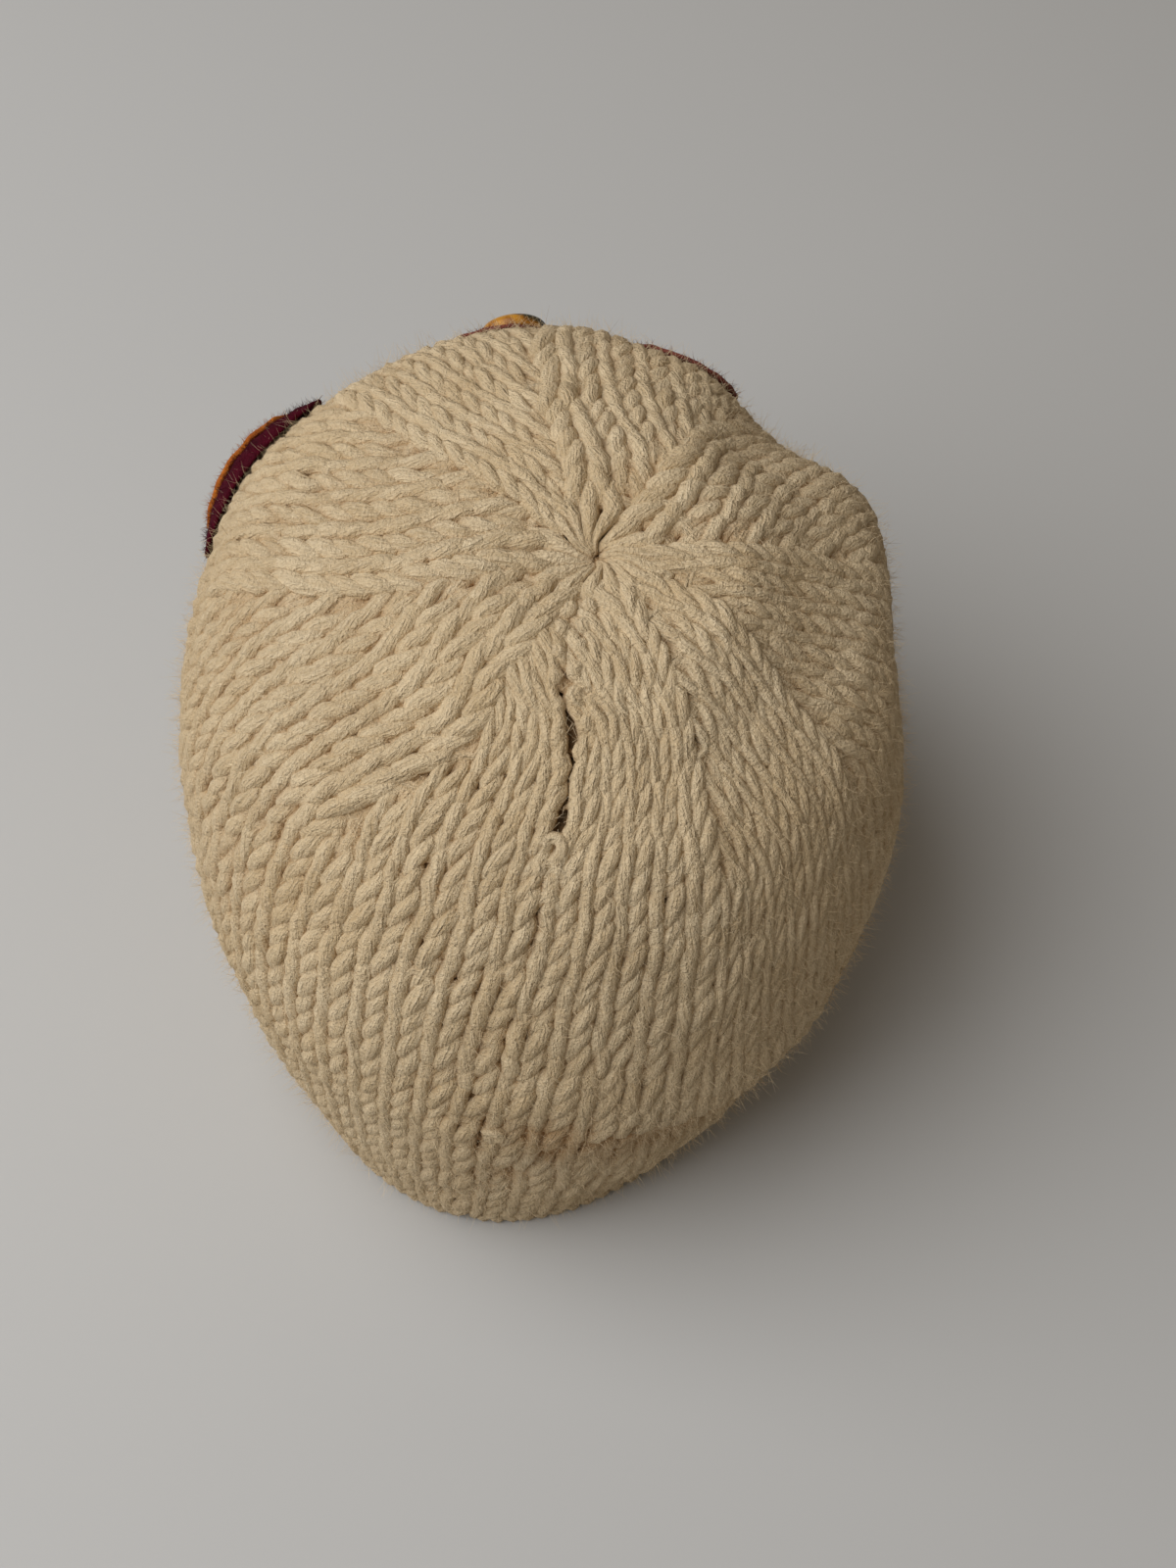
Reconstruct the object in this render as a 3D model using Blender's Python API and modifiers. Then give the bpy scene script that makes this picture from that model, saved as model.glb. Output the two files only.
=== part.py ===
# Knitted wool beanie with a ribbed band and three felted appliques, standing on its rim.
# Metres, +Z up. The back seam faces +Y, the wearer's left is +X, and the front faces -Y.
# A turn is an angle round the hat: 0 at the centre back, 90 at the wearer's left, 180 at the front.
# A level runs over the knit from the rim, 0, to the gathered top, 1.

import math

import bmesh
import bpy
import numpy as np
from mathutils import Matrix, Vector

# Whole hat, measured over the crests of the knit
HAT_WIDTH = 0.174
HAT_LENGTH = 0.200
HAT_HEIGHT = 0.142
BAND_HEIGHT = 0.043

# Knit
KNIT_WALL = 0.0055
BAND_WALL = 0.0055
WALE_GROOVE = 0.0017
RIB_GROOVE = 0.0022
CREASE_GROOVE = 0.0012
SEAM_GROOVE = 0.0034
GATHER_DEPTH = 0.0022
SECTION_WALES = 7
GATHERED_WALES = 1
LEAST_WALE = 0.01
SEAM_SECTION = 7
SEAM_WALE = 5
CROWN_EDGE = 0.56
GATHER_EDGE = 0.945
EXTRA_WALES_END = 0.4
SIDE_ROWS = 6
CROWN_ROWS = 12
BAND_ROWS = 4
BELOW_FLOOR = 0.03

# Small steps for the surface's directions, in degrees and levels, and the highest level that they start from
STEP_TURN = 0.5
STEP_LEVEL = 0.004
HIGHEST_STEP = 0.99
HIGHEST_NORMAL = 0.97
HALVINGS = 40

# Felt and button. A padded felt keeps PADDED_RIM of its thickness at its rim, a flat one all of it.
THICK_FELT = 0.0036
THIN_FELT = 0.0011
PADDED_RIM = 0.25
FLAT_RIM = 1.0
PADDING_POWER = 0.6
BUTTON_TURN = 161.3
BUTTON_LEVEL = 0.485
BUTTON_WIDTH = 0.0165
BUTTON_HEIGHT = 0.0048
BUTTON_RIM = 0.0016
BUTTON_CHAMFER = 0.0005
BUTTON_STEPS = 24
DOME_STEPS = 6
GAP = 0.0003

# Rings of the hat: the rise as a share of HAT_HEIGHT, half_width and shift_side of HAT_WIDTH,
# back, front and shift_back of HAT_LENGTH, and the ring's tilts in degrees.
RING_COLUMNS = (
    "level", "rise", "half_width", "back", "front", "shift_back", "shift_side", "tilt_back", "tilt_side",
)
RINGS = (
    (0.00, 0.000, 0.396, 0.524, 0.444, 0.000, 0.000, 0.0, 0.0),
    (0.14, 0.203, 0.468, 0.520, 0.479, 0.020, -0.002, 1.3, 1.0),
    (0.30, 0.441, 0.501, 0.509, 0.492, 0.032, -0.002, 3.4, 1.9),
    (0.46, 0.685, 0.494, 0.459, 0.463, 0.025, -0.001, 5.8, 2.6),
    (0.58, 0.845, 0.441, 0.389, 0.391, 0.022, -0.016, 7.8, 2.8),
    (0.72, 0.937, 0.303, 0.261, 0.270, 0.034, -0.037, 8.2, 2.1),
    (0.86, 1.002, 0.171, 0.130, 0.140, 0.036, -0.060, 8.5, 0.1),
    (1.00, 0.994, 0.000, 0.000, 0.000, 0.033, -0.057, 9.6, -1.6),
)

# The eight lines of decreases: each one's turn at the rim, at the crown's edge and at the top,
# and the wales that the section after it holds beyond SECTION_WALES.
LINE_COLUMNS = ("rim_turn", "edge_turn", "top_turn", "extra_wales")
LINES = (
    (31.0, 30.7, 11.1, 0),
    (73.0, 81.2, 57.8, 0),
    (115.0, 123.4, 117.9, 0),
    (157.0, 164.9, 146.9, 0),
    (199.0, 210.4, 193.9, 0),
    (241.0, 251.8, 251.0, 0),
    (283.0, 294.0, 283.7, 0),
    (325.0, 322.8, 320.2, 4),
)

# Dents and bulges: the push outwards is a share of HAT_WIDTH, and the spreads are in degrees and levels.
DENT_COLUMNS = ("turn", "level", "push", "turn_spread", "level_spread")
DENTS = (
    (213.8, 0.600, -0.0716, 13.0, 0.13),
    (257.2, 0.460, -0.0325, 13.0, 0.13),
    (188.6, 0.490, -0.0308, 13.0, 0.13),
    (107.0, 0.525, 0.0150, 13.0, 0.075),
    (322.0, 0.275, 0.0130, 24.0, 0.045),
    (318.0, 0.195, -0.0090, 24.0, 0.035),
    (20.0, 0.225, -0.0050, 26.0, 0.045),
)

# Felt pieces: their centre, their half sizes as shares of HAT_WIDTH, how far they turn on the hat in degrees,
# their thickness and the share of it that the rim keeps.
FELT_COLUMNS = ("turn", "level", "half_width", "half_height", "lean", "thickness", "rim")
FELTS = {
    "left": (111.0, 0.485, 0.135, 0.092, 18.0, THICK_FELT, PADDED_RIM),
    "left_top": (111.9, 0.466, 0.092, 0.055, 18.0, THIN_FELT, FLAT_RIM),
    "front": (157.6, 0.484, 0.076, 0.076, 0.0, THIN_FELT, FLAT_RIM),
    "right": (191.0, 0.503, 0.088, 0.084, -10.0, THIN_FELT, FLAT_RIM),
    "right_top": (194.5, 0.487, 0.050, 0.050, -10.0, THIN_FELT, FLAT_RIM),
}
FELT_SIDES = 24
FELT_RINGS = 3

WOOL = (0.60, 0.50, 0.34, 1.0)
BURGUNDY = (0.085, 0.012, 0.022, 1.0)
ORANGE = (0.42, 0.13, 0.025, 1.0)
RUST = (0.30, 0.085, 0.035, 1.0)
OLIVE = (0.15, 0.12, 0.035, 1.0)
AMBER = (0.52, 0.26, 0.03, 1.0)


def column(table, columns, name):
    return np.array([row[columns.index(name)] for row in table], float)


def ring_value(name, level):
    """One column of the rings, read smoothly at any level."""
    at, values = column(RINGS, RING_COLUMNS, "level"), column(RINGS, RING_COLUMNS, name)
    slopes = np.gradient(values, at)
    low = np.clip(np.searchsorted(at, level) - 1, 0, len(at) - 2)
    span = at[low + 1] - at[low]
    s = (level - at[low]) / span
    rise = (1 + 2 * s) * (1 - s) ** 2 * values[low] + s * s * (3 - 2 * s) * values[low + 1]
    return rise + span * s * (1 - s) * ((1 - s) * slopes[low] - s * slopes[low + 1])


def dent_push(turn, level):
    total = np.zeros(np.broadcast(turn, level).shape)
    for row in DENTS:
        dent = dict(zip(DENT_COLUMNS, row))
        across = ((turn - dent["turn"] + 180) % 360 - 180) / dent["turn_spread"]
        along = (level - dent["level"]) / dent["level_spread"]
        total = total + dent["push"] * HAT_WIDTH * np.exp(-across ** 2 - along ** 2)
    return total


def hat_point(turn, level):
    """The crest surface of the knit: an oval ring for each level, tilted and shifted."""
    turn, level = np.broadcast_arrays(np.asarray(turn, float), np.asarray(level, float))
    around = np.radians(turn)
    towards_back = 0.5 + 0.5 * np.cos(around)
    length = towards_back * ring_value("back", level) + (1 - towards_back) * ring_value("front", level)
    push = dent_push(turn, level)
    side = (HAT_WIDTH * ring_value("half_width", level) + push) * np.sin(around)
    along = (HAT_LENGTH * length + push) * np.cos(around)
    tilt_back = np.radians(ring_value("tilt_back", level))
    tilt_side = np.radians(ring_value("tilt_side", level))
    x = HAT_WIDTH * ring_value("shift_side", level) + side * np.cos(tilt_side)
    y = HAT_LENGTH * ring_value("shift_back", level) + along * np.cos(tilt_back)
    z = HAT_HEIGHT * ring_value("rise", level)
    z = z - along * np.sin(tilt_back) + side * np.sin(tilt_side)
    return np.stack([x, y, z], axis=-1)


def across_and_up(turn, level):
    """The surface's two directions: metres for each degree round the hat, and metres for each level."""
    low, high = np.minimum(level, HIGHEST_STEP) - STEP_LEVEL, np.minimum(level, HIGHEST_STEP) + STEP_LEVEL
    across = (hat_point(turn + STEP_TURN, level) - hat_point(turn - STEP_TURN, level)) / (2 * STEP_TURN)
    up = (hat_point(turn, high) - hat_point(turn, low)) / (2 * STEP_LEVEL)
    return across, up


def outward(turn, level):
    across, up = across_and_up(turn, np.minimum(level, HIGHEST_NORMAL))
    normal = np.cross(up, across)
    return normal / np.linalg.norm(normal, axis=-1, keepdims=True)


def level_at_height(height):
    """The level whose ring's centre has this height, near the rim."""
    low, high = 0.0, CROWN_EDGE
    for _ in range(HALVINGS):
        middle = 0.5 * (low + high)
        if HAT_HEIGHT * float(ring_value("rise", np.array(middle))) < height:
            low = middle
        else:
            high = middle
    return 0.5 * (low + high)


def line_turns(level):
    """The turns of the eight lines of decreases at a level, and the first one again after a full turn."""
    rim, edge, top = [column(LINES, LINE_COLUMNS, name) for name in ("rim_turn", "edge_turn", "top_turn")]
    if level < CROWN_EDGE:
        s = max(level, 0.0) / CROWN_EDGE
        turns = rim + (edge - rim) * s * s * (3 - 2 * s)
    else:
        turns = edge + (top - edge) * (level - CROWN_EDGE) / (1 - CROWN_EDGE)
    return np.append(turns, turns[0] + 360)


def wales_left(level, extra):
    """How many wales a section still holds: every section loses one on every other row of the crown."""
    gone = min(max((level - CROWN_EDGE) / (GATHER_EDGE - CROWN_EDGE), 0), 1)
    kept_extra = extra * min(1, (1 - gone) / EXTRA_WALES_END)
    return SECTION_WALES + (GATHERED_WALES - SECTION_WALES) * gone + kept_extra


def knit_row(level, depth):
    """A row of the knit as one list for each section: the groove and the crest of every wale, (turn, depth).

    On the crown a wale that is closing narrows and sinks into the crease of the next line of decreases.
    """
    turns = line_turns(level)
    crease = depth + CREASE_GROOVE * (level > CROWN_EDGE)
    row = []
    for section, line in enumerate(LINES):
        start, end = turns[section], turns[section + 1]
        wales = wales_left(level, line[LINE_COLUMNS.index("extra_wales")])
        points = []
        for wale in range(math.ceil(wales - LEAST_WALE)):
            width = min(1, wales - wale)
            groove = crease if wale == 0 else depth * width + crease * (1 - width)
            if section == SEAM_SECTION and wale == SEAM_WALE:
                groove = SEAM_GROOVE
            wale_turn = (end - start) / wales
            points.append((start + wale_turn * wale, groove))
            points.append((start + wale_turn * (wale + 0.5 * width), crease * (1 - width)))
        row.append(points)
    return row


def add_row(mesh, level, groove):
    """The row's vertices, in the same lists as knit_row."""
    rows = []
    for points in knit_row(level, groove):
        turn, depth = np.array(points).T
        places = hat_point(turn, level) - outward(turn, np.full(len(turn), level)) * depth[:, None]
        rows.append([mesh.verts.new(place) for place in places])
    return rows


def join_rows(mesh, lower, upper):
    """Faces between two rows. Where a section loses wales, their faces close on the next line of decreases."""
    count = len(lower)
    for section in range(count):
        following = (section + 1) % count
        below = lower[section] + [lower[following][0]]
        above = upper[section] + [upper[following][0]]
        for i in range(len(below) - 1):
            a, b = min(i, len(above) - 1), min(i + 1, len(above) - 1)
            corners = [below[i + 1], below[i], above[a], above[b]]
            mesh.faces.new(corners[:3] if a == b else corners)


def mesh_object(name, mesh, color, roughness):
    data = bpy.data.meshes.new(name)
    mesh.to_mesh(data)
    mesh.free()
    return dressed(bpy.data.objects.new(name, data), color, roughness)


def dressed(obj, color, roughness):
    """Gives the object its material, its collection and its place under the hat's empty."""
    material = bpy.data.materials.new(obj.name)
    material.use_nodes = True
    shader = material.node_tree.nodes["Principled BSDF"]
    shader.inputs["Base Color"].default_value = color
    shader.inputs["Roughness"].default_value = roughness
    shader.inputs["Metallic"].default_value = 0.0
    obj.data.materials.append(material)
    obj.data.shade_smooth()
    bpy.data.collections["beanie"].objects.link(obj)
    obj.parent = bpy.data.objects["beanie_stand"]
    return obj


def thicken(obj, thickness, offset):
    wall = obj.modifiers.new("wall", "SOLIDIFY")
    wall.thickness = thickness
    wall.offset = offset
    return wall


def make_knit_body():
    """Crown and sides: rows of wales up to the gathered top, then a wall inwards, cut off above the band."""
    mesh = bmesh.new()
    start = level_at_height(BAND_HEIGHT - KNIT_WALL)
    side_levels = np.linspace(start, CROWN_EDGE, SIDE_ROWS, endpoint=False)
    crown_levels = np.linspace(CROWN_EDGE, GATHER_EDGE, CROWN_ROWS + 1)
    rows = [add_row(mesh, level, WALE_GROOVE) for level in [*side_levels, *crown_levels]]
    for lower, upper in zip(rows, rows[1:]):
        join_rows(mesh, lower, upper)
    top = Vector(hat_point(0.0, 1.0)) - Vector((0, 0, GATHER_DEPTH))
    tip = mesh.verts.new(top)
    last = [vert for section in rows[-1] for vert in section]
    for vert, following in zip(last, last[1:] + last[:1]):
        mesh.faces.new((following, vert, tip))
    body = mesh_object("knit_body", mesh, WOOL, 0.95)
    thicken(body, KNIT_WALL, -1)
    ceiling = 2 * HAT_HEIGHT
    keep_inside(body, make_slab("body_slab", lambda x, y: joint_height(x, y) + GAP, lambda x, y: ceiling))


def make_rib_band():
    """The ribbed band, made a little too long at both ends and cut off at the floor and under the body."""
    mesh = bmesh.new()
    levels = np.linspace(-BELOW_FLOOR, level_at_height(BAND_HEIGHT + BAND_WALL), BAND_ROWS)
    rows = [add_row(mesh, level, RIB_GROOVE) for level in levels]
    for lower, upper in zip(rows, rows[1:]):
        join_rows(mesh, lower, upper)
    band = mesh_object("rib_band", mesh, WOOL, 0.95)
    thicken(band, BAND_WALL, -1)
    keep_inside(band, make_slab("band_slab", lambda x, y: 0.0, joint_height))


def joint_height(x, y):
    """The height, at a place on the floor, of the tilted plane where the band meets the body."""
    level = np.array(level_at_height(BAND_HEIGHT))
    tilt_back = math.radians(ring_value("tilt_back", level))
    tilt_side = math.radians(ring_value("tilt_side", level))
    from_back = y - HAT_LENGTH * float(ring_value("shift_back", level))
    from_side = x - HAT_WIDTH * float(ring_value("shift_side", level))
    return BAND_HEIGHT - from_back * math.tan(tilt_back) + from_side * math.tan(tilt_side)


def make_slab(name, bottom, top):
    """A cutter wider than the hat between two planes, each given as a height over a place on the floor."""
    mesh = bmesh.new()
    bmesh.ops.create_cube(mesh, size=1, matrix=Matrix.Diagonal((2 * HAT_WIDTH, 2 * HAT_LENGTH, 1, 1)))
    for vert in mesh.verts:
        vert.co.z = (top if vert.co.z > 0 else bottom)(vert.co.x, vert.co.y)
    data = bpy.data.meshes.new(name)
    mesh.to_mesh(data)
    mesh.free()
    cutter = bpy.data.objects.new(name, data)
    cutter.hide_render = True
    cutter.display_type = "WIRE"
    bpy.data.collections["beanie_cutters"].objects.link(cutter)
    cutter.parent = bpy.data.objects["beanie_stand"]
    return cutter


def keep_inside(obj, cutter):
    cut = obj.modifiers.new("cut", "BOOLEAN")
    cut.operation = "INTERSECT"
    cut.object = cutter


def felt_frame(place):
    """A felt's row of the table, the knit's metres for a degree and for a level at its middle, and its lean."""
    felt = dict(zip(FELT_COLUMNS, FELTS[place]))
    across, up = across_and_up(felt["turn"], felt["level"])
    return felt, np.linalg.norm(across), np.linalg.norm(up), math.radians(felt["lean"])


def felt_ring(place, out):
    """The turns and levels of an oval ring of a felt, this far out: 0 is its middle, 1 its rim."""
    felt, across, up, lean = felt_frame(place)
    angles = np.arange(FELT_SIDES) * 2 * math.pi / FELT_SIDES
    side = felt["half_width"] * out * HAT_WIDTH * np.cos(angles)
    rise = felt["half_height"] * out * HAT_WIDTH * np.sin(angles)
    turns = felt["turn"] + (side * math.cos(lean) - rise * math.sin(lean)) / across
    levels = felt["level"] + (side * math.sin(lean) + rise * math.cos(lean)) / up
    return turns, levels


def felt_height(place, turns, levels):
    """How thick a felt is at some places of the hat. A padded felt thins towards its rim."""
    felt, across, up, lean = felt_frame(place)
    aside, above = (turns - felt["turn"]) * across, (levels - felt["level"]) * up
    side = (aside * math.cos(lean) + above * math.sin(lean)) / (felt["half_width"] * HAT_WIDTH)
    rise = (above * math.cos(lean) - aside * math.sin(lean)) / (felt["half_height"] * HAT_WIDTH)
    padding = np.maximum(1 - side ** 2 - rise ** 2, 0) ** PADDING_POWER
    return felt["thickness"] * np.maximum(felt["rim"], padding)


def make_felt(name, place, below, color):
    """A felt on the knit, or on the felt below: for each face its middle vertex, then rings out to the rim."""
    mesh = bmesh.new()
    inside, outside = [], []
    for ring in range(FELT_RINGS + 1):
        turns, levels = felt_ring(place, ring / FELT_RINGS)
        under = GAP + (felt_height(below, turns, levels) + GAP if below else np.zeros(FELT_SIDES))
        over = under + felt_height(place, turns, levels)
        count = FELT_SIDES if ring else 1
        for rows, lift in ((inside, under), (outside, over)):
            points = hat_point(turns, levels) + outward(turns, levels) * lift[:, None]
            rows.append([mesh.verts.new(point) for point in points[:count]])
    for i in range(FELT_SIDES):
        j = (i + 1) % FELT_SIDES
        mesh.faces.new((outside[0][0], outside[1][j], outside[1][i]))
        mesh.faces.new((inside[0][0], inside[1][i], inside[1][j]))
        for ring in range(1, FELT_RINGS):
            near, far = outside[ring], outside[ring + 1]
            mesh.faces.new((near[i], near[j], far[j], far[i]))
            near, far = inside[ring], inside[ring + 1]
            mesh.faces.new((near[j], near[i], far[i], far[j]))
        mesh.faces.new((outside[-1][i], outside[-1][j], inside[-1][j], inside[-1][i]))
    mesh_object(name, mesh, color, 0.95)


def make_button(lift):
    """A domed button, its profile turned about its own axis, sitting on the front felt."""
    turn, level = BUTTON_TURN, BUTTON_LEVEL
    radius = 0.5 * BUTTON_WIDTH
    quarter = [0.5 * math.pi * i / DOME_STEPS for i in range(DOME_STEPS + 1)]
    dome = BUTTON_HEIGHT - BUTTON_RIM
    profile = [(radius * math.sin(a), 0, BUTTON_RIM + dome * math.cos(a)) for a in quarter]
    profile += [(radius, 0, BUTTON_CHAMFER), (radius - BUTTON_CHAMFER, 0, 0), (0, 0, 0)]
    data = bpy.data.meshes.new("front_button")
    data.from_pydata(profile, [(i, i + 1) for i in range(len(profile) - 1)], [])
    button = dressed(bpy.data.objects.new("front_button", data), AMBER, 0.18)
    turned = button.modifiers.new("turned", "SCREW")
    turned.steps = turned.render_steps = BUTTON_STEPS
    turned.use_merge_vertices = True
    turned.merge_threshold = 0.00001
    normal = Vector(outward(turn, level))
    turning = normal.to_track_quat("Z", "Y").to_matrix().to_4x4()
    seat = Vector(hat_point(turn, level)) + normal * lift
    button.matrix_local = Matrix.Translation(seat) @ turning


def make_appliques():
    make_felt("left_applique_base", "left", None, BURGUNDY)
    make_felt("left_applique_top", "left_top", "left", ORANGE)
    make_felt("front_applique_base", "front", None, RUST)
    make_button(GAP + THIN_FELT + GAP)
    make_felt("right_applique_base", "right", None, RUST)
    make_felt("right_applique_top", "right_top", "right", OLIVE)


def centre_on_origin():
    """Moves the hat's empty so that the middle of the whole hat stands over the origin."""
    bpy.context.view_layer.update()
    graph = bpy.context.evaluated_depsgraph_get()
    points = []
    for obj in bpy.data.collections["beanie"].objects:
        if obj.type == "EMPTY":
            continue
        shown = obj.evaluated_get(graph)
        mesh = shown.to_mesh()
        points += [obj.matrix_world @ vert.co for vert in mesh.vertices]
        shown.to_mesh_clear()
    low, high = np.min(points, axis=0), np.max(points, axis=0)
    middle = 0.5 * (low + high)
    bpy.data.objects["beanie_stand"].location = (-middle[0], -middle[1], 0)
    bpy.context.view_layer.update()


def main():
    for obj in list(bpy.data.objects):
        bpy.data.objects.remove(obj)
    for name in ("beanie", "beanie_cutters"):
        bpy.context.scene.collection.children.link(bpy.data.collections.new(name))
    bpy.data.collections["beanie"].objects.link(bpy.data.objects.new("beanie_stand", None))
    make_knit_body()
    make_rib_band()
    make_appliques()
    centre_on_origin()


main()
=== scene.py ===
# A hand-knitted wool beanie standing on its rim, with every stitch, its sewn back seam and its felt pieces.
# The seam runs down the centre back at +Y, the wearer's left is +X and the front is -Y. Metres, +Z up.
# A turn is an angle round the hat: 0 at the centre back and 90 at the wearer's left.
# A level runs over the knit from the rim, 0, to the gathered top, 1.
import math

import bpy
import numpy as np
from mathutils import Matrix, Vector


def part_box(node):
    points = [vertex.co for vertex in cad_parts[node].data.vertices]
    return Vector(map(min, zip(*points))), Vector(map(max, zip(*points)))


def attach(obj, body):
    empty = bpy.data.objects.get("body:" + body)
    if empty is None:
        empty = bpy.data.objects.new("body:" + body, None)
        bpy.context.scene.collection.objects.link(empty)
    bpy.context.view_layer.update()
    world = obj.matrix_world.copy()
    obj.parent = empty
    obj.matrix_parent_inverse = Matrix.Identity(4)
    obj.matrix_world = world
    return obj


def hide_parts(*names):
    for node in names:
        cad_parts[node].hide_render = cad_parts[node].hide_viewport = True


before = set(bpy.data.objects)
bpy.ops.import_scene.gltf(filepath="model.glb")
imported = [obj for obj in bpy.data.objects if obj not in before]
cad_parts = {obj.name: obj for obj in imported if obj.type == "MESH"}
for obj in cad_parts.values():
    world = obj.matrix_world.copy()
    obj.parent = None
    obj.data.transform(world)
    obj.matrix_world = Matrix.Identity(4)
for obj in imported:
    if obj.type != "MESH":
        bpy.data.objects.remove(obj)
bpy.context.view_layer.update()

print("hat: the surface of the knit")
hat = dict(width=0.174, length=0.200, height=0.142, crownEdge=0.56, gatherEdge=0.945, extraWalesEnd=0.4,
           sectionWales=7, gatheredWales=1, seamSection=7, dimple=0.0012, dimpleStart=0.955)

ringColumns = ("level", "rise", "halfWidth", "back", "front", "shiftBack", "shiftSide", "tiltBack",
               "tiltSide")
rings = np.array((  # shares of the hat's height, width and length, and the ring's tilts in degrees
    (0.00, 0.000, 0.396, 0.524, 0.444, 0.000, 0.000, 0.0, 0.0),
    (0.14, 0.203, 0.468, 0.520, 0.479, 0.020, -0.002, 1.3, 1.0),
    (0.30, 0.441, 0.501, 0.509, 0.492, 0.032, -0.002, 3.4, 1.9),
    (0.46, 0.685, 0.494, 0.459, 0.463, 0.025, -0.001, 5.8, 2.6),
    (0.58, 0.845, 0.441, 0.389, 0.391, 0.022, -0.016, 7.8, 2.8),
    (0.72, 0.937, 0.303, 0.261, 0.270, 0.034, -0.037, 8.2, 2.1),
    (0.86, 1.002, 0.171, 0.130, 0.140, 0.036, -0.060, 8.5, 0.1),
    (1.00, 0.994, 0.000, 0.000, 0.000, 0.033, -0.057, 9.6, -1.6),
))
decreaseLines = np.array((  # turns at the rim, the crown's edge and the top, and the section's extra wales
    (31.0, 30.7, 11.1, 0),
    (73.0, 81.2, 57.8, 0),
    (115.0, 123.4, 117.9, 0),
    (157.0, 164.9, 146.9, 0),
    (199.0, 210.4, 193.9, 0),
    (241.0, 251.8, 251.0, 0),
    (283.0, 294.0, 283.7, 0),
    (325.0, 322.8, 320.2, 4),
))
spotColumns = ("turn", "level", "amount", "turnSpread", "levelSpread")
dents = (  # pushed in or out by a share of the hat's width
    (213.8, 0.600, -0.0716, 13.0, 0.13),
    (257.2, 0.460, -0.0325, 13.0, 0.13),
    (188.6, 0.490, -0.0308, 13.0, 0.13),
    (107.0, 0.525, 0.0150, 13.0, 0.075),
    (322.0, 0.275, 0.0130, 24.0, 0.045),
    (318.0, 0.195, -0.0090, 24.0, 0.035),
    (20.0, 0.225, -0.0050, 26.0, 0.045),
)


def eased(share):  # a soft start and a soft end
    return share * share * (3 - 2 * share)


def ringValue(name, level):
    at, values = rings[:, 0], rings[:, ringColumns.index(name)]
    slopes = np.gradient(values, at)
    low = np.clip(np.searchsorted(at, level) - 1, 0, len(at) - 2)
    span = at[low + 1] - at[low]
    s = (level - at[low]) / span
    rise = values[low] + (values[low + 1] - values[low]) * eased(s)
    return rise + span * s * (1 - s) * ((1 - s) * slopes[low] - s * slopes[low + 1])


def wrapped(turn):
    return (turn + 180) % 360 - 180


def spots(table, turn, level):
    total = 0.0
    for row in table:
        spot = dict(zip(spotColumns, row))
        across = wrapped(turn - spot["turn"]) / spot["turnSpread"]
        along = (level - spot["level"]) / spot["levelSpread"]
        total = total + spot["amount"] * np.exp(-across ** 2 - along ** 2)
    return total


def hatPoint(turn, level):  # a point on the crests of the knit
    turn, level = np.broadcast_arrays(np.asarray(turn, float), np.asarray(level, float))
    around = np.radians(turn)
    towardsBack = 0.5 + 0.5 * np.cos(around)
    length = towardsBack * ringValue("back", level) + (1 - towardsBack) * ringValue("front", level)
    push = hat["width"] * spots(dents, turn, level)
    side = (hat["width"] * ringValue("halfWidth", level) + push) * np.sin(around)
    along = (hat["length"] * length + push) * np.cos(around)
    tiltBack, tiltSide = np.radians(ringValue("tiltBack", level)), np.radians(ringValue("tiltSide", level))
    x = hat["width"] * ringValue("shiftSide", level) + side * np.cos(tiltSide) + shift[0]
    y = hat["length"] * ringValue("shiftBack", level) + along * np.cos(tiltBack) + shift[1]
    z = hat["height"] * ringValue("rise", level) - along * np.sin(tiltBack) + side * np.sin(tiltSide)
    return np.stack([x, y, z], axis=-1)


def acrossAndUp(turn, level, stepTurn=0.5, stepLevel=0.004, topLevel=0.985):  # metres a degree and a level
    level = np.minimum(level, topLevel)
    across = (hatPoint(turn + stepTurn, level) - hatPoint(turn - stepTurn, level)) / (2 * stepTurn)
    up = (hatPoint(turn, level + stepLevel) - hatPoint(turn, level - stepLevel)) / (2 * stepLevel)
    return across, up


def degreeLength(turn, level):
    return np.linalg.norm(acrossAndUp(turn, level)[0], axis=-1)


def outward(turn, level):
    across, up = acrossAndUp(turn, level, topLevel=0.97)
    normal = np.cross(up, across)
    return normal / np.linalg.norm(normal, axis=-1, keepdims=True)


def lineTurns(level):  # the eight decrease lines, and the first one a turn further
    level = np.asarray(level, float)[..., None]
    rim, edge, top = decreaseLines[:, :3].T
    below = rim + (edge - rim) * eased(np.clip(level / hat["crownEdge"], 0, 1))
    above = edge + (top - edge) * (level - hat["crownEdge"]) / (1 - hat["crownEdge"])
    turns = np.where(level < hat["crownEdge"], below, above)
    return np.concatenate([turns, turns[..., :1] + 360], axis=-1)


def walesLeft(section, level):
    gone = np.clip((level - hat["crownEdge"]) / (hat["gatherEdge"] - hat["crownEdge"]), 0, 1)
    extra = decreaseLines[section, 3] * np.minimum(1, (1 - gone) / hat["extraWalesEnd"])
    return hat["sectionWales"] + (hat["gatheredWales"] - hat["sectionWales"]) * gone + extra


def sectionEdges(section, turns):  # the turns where it starts and ends
    return [np.take_along_axis(turns, section[..., None] + k, -1)[..., 0] for k in (0, 1)]


def waleToTurn(section, wale, level):
    start, end = sectionEdges(section, lineTurns(level))
    return start + (end - start) * wale / walesLeft(section, level)


def turnToWale(turn, level):  # how far through its section's wales a place is
    turns = lineTurns(level)
    turn = turns[..., 0] + (turn - turns[..., 0]) % 360
    section = np.clip((turn[..., None] >= turns).sum(-1) - 1, 0, len(decreaseLines) - 1)
    start, end = sectionEdges(section, turns)
    return (turn - start) / (end - start) * walesLeft(section, level)


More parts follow.
